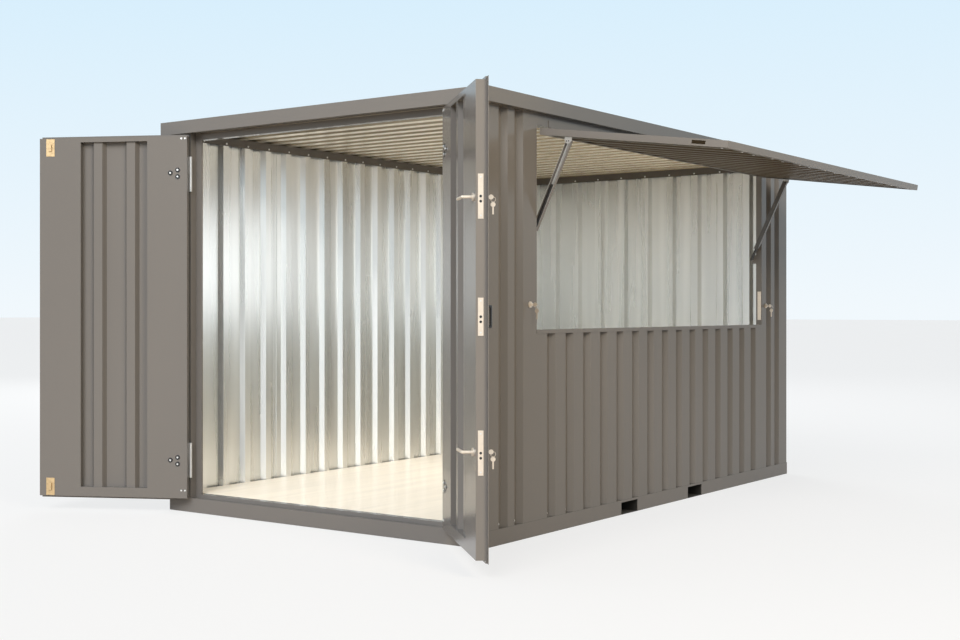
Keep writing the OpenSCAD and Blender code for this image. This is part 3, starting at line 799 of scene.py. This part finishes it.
@dataclass(frozen=True)
class Walls(SubAssembly):
    """The ribbed walls' screws, and the joint between two sheets of the back wall.

    Attributes:
        pitch: Distance between two grooves.
        mouth: Width of a groove.
        sheet: Thickness of the sheet.
        eaves_rise: Height of the eaves screws above the eaves angle's lower edge.
        foot_rise: Height of the foot screws above the panel's lower edge.
        narrow_grooves: Grooves of the narrow panels, from the nearer end of the base.
        seam_pitches: Place of the joint, in pitches from the wall's middle.
        seam_folds: Strips of the joint, as offset, width and height above the sheet.
    """

    pitch: float = 0.197
    mouth: float = 0.086
    sheet: float = 0.002
    eaves_rise: float = 0.012
    foot_rise: float = 0.016
    narrow_grooves: tuple[float, ...] = (0.190, 0.342)
    seam_pitches: float = -5.5
    seam_folds: tuple[tuple[float, float, float], ...] = ((0.0, 0.026, 0.002), (0.009, 0.004, 0.006))

    def dress(self) -> list[bpy.types.Object]:
        """Adds the screws and the joint."""
        return [*self._eaves_screws(), self._foot_screws(), self._seam()]

    def _grooves(self, node: str, along: int, middle: float = 0.0) -> list[float]:
        """Middles of a wall's grooves.

        Args:
            node: CAD node of the wall.
            along: Axis along which the wall runs.
            middle: Place of the middle groove on that axis.

        Returns:
            Places on that axis.
        """
        low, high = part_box(node)
        count = 2 * int((high[along] - low[along] - self.mouth) / self.pitch / 2) + 1
        return [middle + (i - (count - 1) / 2) * self.pitch for i in range(count)]

    def _eaves_screws(self) -> list[bpy.types.Object]:
        """Screws through the eaves angle at each groove of the back wall and the far end wall.

        Returns:
            The two rows.
        """
        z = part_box("eaves_angles")[0].z + self.eaves_rise
        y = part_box("back_wall")[0].y - self.sheet
        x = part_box("far_end_wall")[0].x - self.sheet
        back = [Vector((groove, y, z)) for groove in self._grooves("back_wall", along=0)]
        far = [Vector((x, groove, z)) for groove in self._grooves("far_end_wall", along=1)]
        return [
            Fixings("eaves_screws_back", "kiosk", WALL_SCREW, Vector((0, -1, 0)), back).build(),
            Fixings("eaves_screws_far", "kiosk", WALL_SCREW, Vector((-1, 0, 0)), far).build(),
        ]

    def _foot_screws(self) -> bpy.types.Object:
        """Screws at the foot of each groove on the hatch side.

        Returns:
            The row.
        """
        low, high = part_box("hatch_side_lower_panel")
        y, z = high.y - self.sheet, low.z + self.foot_rise
        grooves = self._grooves("hatch_side_lower_panel", along=0, middle=(low.x + high.x) / 2)
        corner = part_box("base_side_rails")[0].x
        for inset in self.narrow_grooves:
            grooves += [corner + inset, -corner - inset]
        feet = [Vector((groove, y, z)) for groove in grooves]
        return Fixings("foot_screws_hatch", "kiosk", WALL_SCREW, Vector((0, -1, 0)), feet).build()

    def _seam(self) -> bpy.types.Object:
        """The folded joint between the back wall's first two sheets, on a flat between two grooves.

        Returns:
            The joint.
        """
        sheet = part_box("back_wall")[1].y - self.sheet
        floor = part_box("floor_panel")[1].z
        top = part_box("eaves_angles")[0].z
        shape = bmesh.new()
        for offset, width, proud in self.seam_folds:
            middle = (self.seam_pitches * self.pitch + offset, sheet - proud / 2, (top + floor) / 2)
            add_box(shape, middle, (width, proud, top - floor))
        return add_shape("back_wall_seam", shape, "kiosk", GALVANISED)


@dataclass(frozen=True)
class DoorLeaf(SubAssembly):
    """A door leaf's bolts and rivets, set out on the closed leaf and turned open with it.

    Attributes:
        side: Which leaf.
        axis: A point on the hinge axis.
        angle: Angle by which it stands open, in radians.
        clearance: Gap between the end of the base and the closed leaf's frame.
        skin: Thickness of the skin outside the frame.
        depth: Depth of the frame.
        edge_inset: From the hinge axis to the frame's hinged edge.
        hinge_inset: From the leaf's top or foot to the nearer hinge.
        hinge_bolts: Bolts of a hinge, as distance from the hinged edge and height above the hinge.
        rivet_insets: Rivets' distances from the hinged edge.
        low_rivets: Height of the lower rivets above the leaf's foot.
        high_rivets: Depth of the upper rivets below the leaf's top.
    """

    side: Side
    axis: Vector
    angle: float
    clearance: float = 0.005
    skin: float = 0.002
    depth: float = 0.043
    edge_inset: float = 0.010
    hinge_inset: float = 0.215
    hinge_bolts: tuple[Span, ...] = ((0.098, 0.004), (0.055, 0.020), (0.055, -0.018))
    rivet_insets: Span = (0.012, 0.034)
    low_rivets: float = 0.045
    high_rivets: float = 0.014

    @classmethod
    def of(cls, frame: Frame, side: Side) -> "DoorLeaf":
        """Reads a leaf from the frame's joints, whose low limit is closed.

        Args:
            side: Which leaf.

        Returns:
            The leaf.
        """
        joint = joint_of(frame, side.name.lower() + "_door")
        return cls(side, Vector(joint["pos_m"]), math.radians(-joint["range_deg"][0]))

    @property
    def body(self) -> str:
        """The leaf's CAD body."""
        return self.side.name.lower() + "_door"

    @property
    def frame_face(self) -> float:
        """Place along X of the closed frame's outer face."""
        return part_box("base_side_rails")[0].x - self.clearance

    def turn(self) -> Matrix:
        """The leaf's turn from closed to open, in the shared frame."""
        spin = Matrix.Rotation(-self.side.value * self.angle, 4, "Z")
        return Matrix.Translation(self.axis) @ spin @ Matrix.Translation(-self.axis)

    def at(self, x: float, u: float, z: float) -> Vector:
        """A place on the open leaf, from X, distance from the middle and height on the closed one."""
        return self.turn() @ Vector((x, self.side.value * u, z))

    def along(self, x: float, u: float) -> Vector:
        """A level direction on the open leaf, from its parts along X and towards the hinges."""
        return self.turn().to_3x3() @ Vector((x, self.side.value * u, 0.0))

    def dress(self) -> list[bpy.types.Object]:
        """Adds the hinge bolts and the rivets on the leaf's inner face.

        Returns:
            Washers, nuts and rivets.
        """
        low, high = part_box(self.side.name.lower() + "_leaf_stiles")
        face = self.frame_face + self.depth
        edge = abs(self.axis.y) - self.edge_inset
        bolts = [
            self.at(face, edge - inset, hinge + rise)
            for hinge in (low.z + self.hinge_inset, high.z - self.hinge_inset)
            for inset, rise in self.hinge_bolts
        ]
        rivets = [
            self.at(face, edge - inset, z)
            for z in (low.z + self.low_rivets, high.z - self.high_rivets)
            for inset in self.rivet_insets
        ]
        inwards = self.along(1, 0)
        return [
            Fixings(f"{self.body}_hinge_washers", self.body, HINGE_WASHER, inwards, bolts).build(),
            Fixings(f"{self.body}_hinge_nuts", self.body, HINGE_NUT, inwards, bolts).build(),
            Fixings(f"{self.body}_rivets", self.body, LEAF_RIVET, inwards, rivets).build(),
        ]


@dataclass(frozen=True)
class DoorLocks(SubAssembly):
    """The right leaf's locks: plates on its free edge, and keys in its cylinders.

    Attributes:
        leaf: The leaf.
        plate_face: From the door end's middle to the plates' faces.
        lever_plate: Half the length of a plate beside a lever.
        middle_plate: Half the length of the plate between them.
        middle_height: Height of the plate between them.
        screw_inset: From a plate's end to its screw.
        hole_drop: From a plate's middle to its second hole.
        cylinder_inset: From the door end's middle to a cylinder.
        cylinder_out: How far a cylinder stands out of the skin.
    """

    frame: Frame
    leaf: DoorLeaf
    plate_face: float = 0.002
    lever_plate: float = 0.0975
    middle_plate: float = 0.0825
    middle_height: float = 1.139
    screw_inset: float = 0.014
    hole_drop: float = 0.022
    cylinder_inset: float = 0.049
    cylinder_out: float = 0.014

    def dress(self) -> list[bpy.types.Object]:
        """Adds screws, painted hole shades and keys."""
        return [*self._plates(), *self._keys()]

    def _lever_height(self, level: str) -> float:
        """Height of the upper or lower lever, from its joint."""
        return joint_of(self.frame, f"{level}_handle")["pos_m"][2]

    def _plates(self) -> list[bpy.types.Object]:
        """Screws in the lock plates, and black discs painted as the shade inside their bolt holes.

        Returns:
            The screws and the painted hole shades.
        """
        x = self.leaf.frame_face + self.leaf.depth / 2
        screws: list[Vector] = []
        hole_shades: list[Vector] = []
        for height, half in (
            (self._lever_height("upper"), self.lever_plate),
            (self.middle_height, self.middle_plate),
            (self._lever_height("lower"), self.lever_plate),
        ):
            reach = half - self.screw_inset
            screws += [self.leaf.at(x, self.plate_face, height + end) for end in (-reach, reach)]
            hole_shades += [self.leaf.at(x, self.plate_face, height - drop) for drop in (0.0, self.hole_drop)]
        out, body = self.leaf.along(0, -1), self.leaf.body
        return [
            Fixings("lock_plate_screws", body, PLATE_SCREW, out, screws).build(),
            Fixings("lock_plate_holes", body, PLATE_HOLE_SHADE, out, hole_shades).build(),
        ]

    def _keys(self) -> list[bpy.types.Object]:
        """Keys in the two cylinders.

        Returns:
            The keys.
        """
        x = self.leaf.frame_face - self.leaf.skin - self.cylinder_out
        keys: list[bpy.types.Object] = []
        for level in ("upper", "lower"):
            foot = self.leaf.at(x, self.cylinder_inset, self._lever_height(level))
            keys.append(KeySet(f"{level}_keys", self.leaf.body, foot, self.leaf.along(-1, 0)).build())
        return keys


@dataclass(frozen=True)
class HatchFlap(SubAssembly):
    """The flap's screws and the bolts of its near strut bracket.

    Attributes:
        inner_face: From the hinge axis to the inner face of the flap's frame.
        screw_count: Screws along the outer edge.
        end_inset: From the flap's ends to the first and last screw.
        row_insets: The two rows' distances from the outer edge, taken in turn.
        bolt_offset: From the strut's pivot to a bolt on each side of it.
    """

    frame: Frame
    inner_face: float = 0.043
    screw_count: int = 16
    end_inset: float = 0.05
    row_insets: Span = (0.055, 0.035)
    bolt_offset: float = 0.006

    def dress(self) -> list[bpy.types.Object]:
        """Adds the screws and the bolts."""
        return [self._edge_screws(), self._bracket_bolts()]

    def _edge_screws(self) -> bpy.types.Object:
        """Two staggered rows of screws on the underside of the outer edge.

        Returns:
            The screws.
        """
        joint = joint_of(self.frame, "flap")
        axis = Vector(joint["pos_m"])
        turn = Matrix.Rotation(math.radians(joint["range_deg"][0]), 3, "X")
        low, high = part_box("flap_frame")
        length = math.hypot(low.y - axis.y, low.z - axis.z)
        start = low.x + self.end_inset
        step = (high.x - self.end_inset - start) / (self.screw_count - 1)
        places: list[Vector] = []
        for i in range(self.screw_count):
            down = length - self.row_insets[i % 2]
            local = turn @ Vector((0, self.inner_face, -down))
            places.append(Vector((start + i * step, axis.y + local.y, axis.z + local.z)))
        return Fixings("flap_screws", "flap", FLAP_SCREW, turn @ Vector((0, 1, 0)), places).build()

    def _bracket_bolts(self) -> bpy.types.Object:
        """Bolts beside the near strut's upper pivot.

        Returns:
            The bolts.
        """
        pivot = Vector(joint_of(self.frame, "near_rod")["pos_m"])
        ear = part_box("flap_brackets")[0].x
        places = [Vector((ear, pivot.y + end, pivot.z)) for end in (-self.bolt_offset, self.bolt_offset)]
        return Fixings("bracket_bolts", "flap", BRACKET_BOLT, Vector((-1, 0, 0)), places).build()


@dataclass(frozen=True)
class HatchLocks(SubAssembly):
    """Keys in the cylinders beside the hatch.

    Attributes:
        cylinder_radius: Radius of a cylinder.
    """

    cylinder_radius: float = 0.016

    def dress(self) -> list[bpy.types.Object]:
        """Adds the keys.

        Returns:
            The keys.
        """
        low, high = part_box("hatch_locks")
        z = (low.z + high.z) / 2
        keys: list[bpy.types.Object] = []
        for end, x in (("near", low.x + self.cylinder_radius), ("far", high.x - self.cylinder_radius)):
            foot = Vector((x, low.y, z))
            keys.append(KeySet(f"{end}_hatch_keys", "kiosk", foot, Vector((0, -1, 0))).build())
        return keys


@dataclass(frozen=True)
class PhotoCamera:
    """Camera at the photo's angle.

    Attributes:
        place: Eye point.
        heading: Angle of the view from +X towards +Y, in degrees.
        focal: Focal length in pixels.
        centre: Principal point in pixels.
        image: Width and height of the photo in pixels.
        sensor: Width of the sensor in millimetres.
        reach: How far it sees.
    """

    place: Place = (-7.8413, -4.7198, 1.1717)
    heading: float = 39.1355
    focal: float = 1394.74
    centre: Span = (310.51, 309.16)
    image: Span = (960.0, 640.0)
    sensor: float = 36.0
    reach: float = 200.0

    def build(self) -> bpy.types.Object:
        """Adds the camera and makes it the scene's.

        Returns:
            The camera.
        """
        width, height = self.image
        lens = bpy.data.cameras.new("photo_camera")
        lens.sensor_fit = "HORIZONTAL"
        lens.sensor_width = self.sensor
        lens.lens = self.focal * self.sensor / width
        lens.shift_x = (width / 2 - self.centre[0]) / width
        lens.shift_y = (self.centre[1] - height / 2) / width
        lens.clip_end = self.reach
        camera = bpy.data.objects.new("photo_camera", lens)
        camera.location = self.place
        camera.rotation_euler = (math.pi / 2, 0.0, math.radians(self.heading - 90.0))
        bpy.context.scene.collection.objects.link(camera)
        bpy.context.scene.camera = camera
        return camera


@dataclass(frozen=True)
class SoftLight:
    """An area light.

    Attributes:
        name: Object name.
        place: Where it hangs.
        target: What it points at.
        size: Edge length.
        power: Watts.
        colour: Its colour.
        width: Second edge length, or 0 for a square.
        mirrored: Whether it shows in reflections.
    """

    name: str
    place: Place
    target: Place
    size: float
    power: float
    colour: Colour = (1.0, 1.0, 1.0)
    width: float = 0.0
    mirrored: bool = True

    def build(self) -> bpy.types.Object:
        """Adds the light.

        Returns:
            The light.
        """
        lamp = bpy.data.lights.new(self.name, "AREA")
        lamp.size = self.size
        if self.width:
            lamp.shape = "RECTANGLE"
            lamp.size_y = self.width
        lamp.energy = self.power
        lamp.color = self.colour
        thing = bpy.data.objects.new(self.name, lamp)
        thing.location = self.place
        aim = Vector(self.target) - Vector(self.place)
        thing.rotation_euler = aim.to_track_quat("-Z", "Y").to_euler()
        thing.visible_camera = False
        thing.visible_glossy = self.mirrored
        bpy.context.scene.collection.objects.link(thing)
        return thing


@dataclass(frozen=True)
class StudioFloor:
    """A wide pale floor just below the cabin, with painted shade where the cabin covers it.

    Where it is seen or mirrored it is pale. The light that it throws back on the cabin is
    that of brown earth, which fades towards the far end.

    Attributes:
        half: Half its edge length.
        level: Its height, just under the cabin.
        seen: Grey that takes the shadows where it is seen.
        glow: Its own light where it is seen.
        near_earth: Earth at the door end.
        far_earth: Earth past the far end.
        fade: Where along X the one turns into the other.
        covered_shade: Painted shade under the cabin.
        roughness: Its roughness.
    """

    half: float = 150.0
    level: float = -0.001
    seen: Colour = (0.11, 0.11, 0.11)
    glow: float = 0.73
    near_earth: Colour = (0.56, 0.44, 0.30)
    far_earth: Colour = (0.06, 0.05, 0.04)
    fade: Span = (1.5, 6.5)
    covered_shade: Colour = (0.05, 0.046, 0.04)
    roughness: float = 0.9

    def build(self) -> bpy.types.Object:
        """Adds the floor.

        Returns:
            The floor.
        """
        low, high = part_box("base_side_rails")
        far = Vector((self.half, self.half, 0.0))
        corners: list[Place] = []
        for a, b in ((-far, far), (low, high)):
            corners += [(x, y, self.level) for x, y in ((a.x, a.y), (b.x, a.y), (b.x, b.y), (a.x, b.y))]
        ring = [(i, (i + 1) % 4, (i + 1) % 4 + 4, i + 4) for i in range(4)]
        mesh = bpy.data.meshes.new("studio_floor")
        mesh.from_pydata(corners, [], [*ring, (4, 5, 6, 7)])
        mesh.materials.append(self._pale())
        # Painted shade: the dark face under the cabin stands in for its shadow on the ground.
        mesh.materials.append(Finish("studio_shade", "", self.covered_shade, self.roughness).build())
        mesh.polygons[len(ring)].material_index = 1
        floor = bpy.data.objects.new("studio_floor", mesh)
        bpy.context.scene.collection.objects.link(floor)
        return floor

    def _pale(self) -> bpy.types.Material:
        """Makes the material of the floor around the cabin.

        Returns:
            The material.
        """
        pale = Finish("studio_floor", "", self.seen, self.roughness).build()
        graph = Graph(pale.node_tree)
        shader = graph.tree.nodes["Principled BSDF"]
        rays = graph.seen_rays()
        along = graph.add("ShaderNodeSeparateXYZ", {"Vector": graph.place()}).outputs["X"]
        fade = graph.map_range(along, self.fade)
        earth = graph.colour_mix(fade, (*self.near_earth, 1.0), (*self.far_earth, 1.0))
        graph.feed(shader.inputs["Base Color"], graph.colour_mix(rays, earth, (*self.seen, 1.0)))
        graph.feed(shader.inputs["Emission Color"], (1.0, 1.0, 1.0, 1.0))
        graph.feed(shader.inputs["Emission Strength"], graph.combine("MULTIPLY", rays, self.glow))
        return pale


@dataclass(frozen=True)
class StudioSky:
    """A pale sky, a little bluer upwards, whose light comes mostly from the door end.

    Attributes:
        horizon: Colour that is seen at the horizon.
        above: Colour that is seen higher up.
        rise: Heights, as sines, between which the one turns into the other.
        bright: Light from the door end.
        dim: Light from the far end.
        heading: Direction in which the light fades.
        fade: Range of the fading along that direction.
    """

    horizon: Colour = (0.88, 0.94, 0.98)
    above: Colour = (0.66, 0.85, 0.98)
    rise: Span = (0.0, 0.25)
    bright: Colour = (1.08, 1.15, 1.22)
    dim: Colour = (0.10, 0.08, 0.05)
    heading: Place = (0.94, -0.34, 0.0)
    fade: Span = (-0.9, 0.4)

    def build(self) -> None:
        """Makes the world."""
        world = bpy.data.worlds.new("studio")
        bpy.context.scene.world = world
        world.use_nodes = True
        graph = Graph(world.node_tree)
        coords = graph.add("ShaderNodeTexCoord").outputs["Generated"]
        height = graph.add("ShaderNodeSeparateXYZ", {"Vector": coords}).outputs["Z"]
        rise = graph.map_range(height, self.rise)
        seen = graph.colour_mix(rise, (*self.horizon, 1.0), (*self.above, 1.0))
        dot = {0: coords, 1: self.heading}
        across = graph.add("ShaderNodeVectorMath", dot, operation="DOT_PRODUCT").outputs["Value"]
        fade = graph.map_range(across, self.fade)
        light = graph.colour_mix(fade, (*self.bright, 1.0), (*self.dim, 1.0))
        background = graph.tree.nodes["Background"]
        graph.feed(background.inputs["Strength"], 1.0)
        graph.feed(background.inputs["Color"], graph.colour_mix(graph.seen_rays(), light, seen))


@dataclass(frozen=True)
class Studio(SubAssembly):
    """Plain pale floor, pale sky and soft light.

    Attributes:
        lights: The lights.
    """

    lights: tuple[SoftLight, ...] = (
        SoftLight(
            "key", place=(-28.0, -7.0, 18.0), target=(-2.0, 0.0, 1.0),
            size=14.0, power=9000.0, colour=(1.0, 0.98, 0.96),
        ),
        SoftLight(
            "fill", place=(-4.6, -6.0, 4.4), target=(-1.0, -1.1, 0.6),
            size=2.0, power=350.0, colour=(1.0, 0.86, 0.66), mirrored=False,
        ),
        SoftLight(
            "back", place=(9.0, 9.0, 7.0), target=(0.0, 0.0, 1.0), size=6.0, power=1200.0, mirrored=False
        ),
        SoftLight(
            "cabin", place=(0.0, 0.0, 2.12), target=(0.0, 0.001, 0.0),
            size=3.4, width=1.6, power=30.0, colour=(1.0, 0.94, 0.86), mirrored=False,
        ),
        SoftLight(
            "hatch", place=(0.03, -0.93, 1.58), target=(0.03, 1.0, 1.45),
            size=2.9, width=0.95, power=6.5, colour=(0.97, 0.99, 1.0),
        ),
    )

    def dress(self) -> list[bpy.types.Object]:
        """Adds floor, sky and lights.

        Returns:
            The floor and the lights.
        """
        bpy.context.scene.view_settings.view_transform = "Standard"
        floor = StudioFloor().build()
        StudioSky().build()
        return [floor, *(light.build() for light in self.lights)]


def main() -> None:
    """Builds the scene and reports each piece."""
    logging.basicConfig(level=logging.INFO)
    for thing in list(bpy.data.objects):
        bpy.data.objects.remove(thing)
    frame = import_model()
    left, right = (DoorLeaf.of(frame, side) for side in Side)
    assemblies: list[SubAssembly] = [
        NodeFinishes(frame),
        Walls(),
        left,
        right,
        DoorLocks(frame, right),
        HatchFlap(frame),
        HatchLocks(),
        Studio(),
    ]
    for assembly in assemblies:
        for piece in assembly.dress():
            LOG.info("%s: %s", type(assembly).__name__, piece.name)
    camera = PhotoCamera().build()
    LOG.info("PhotoCamera: %s", camera.name)


if __name__ == "__main__":
    main()
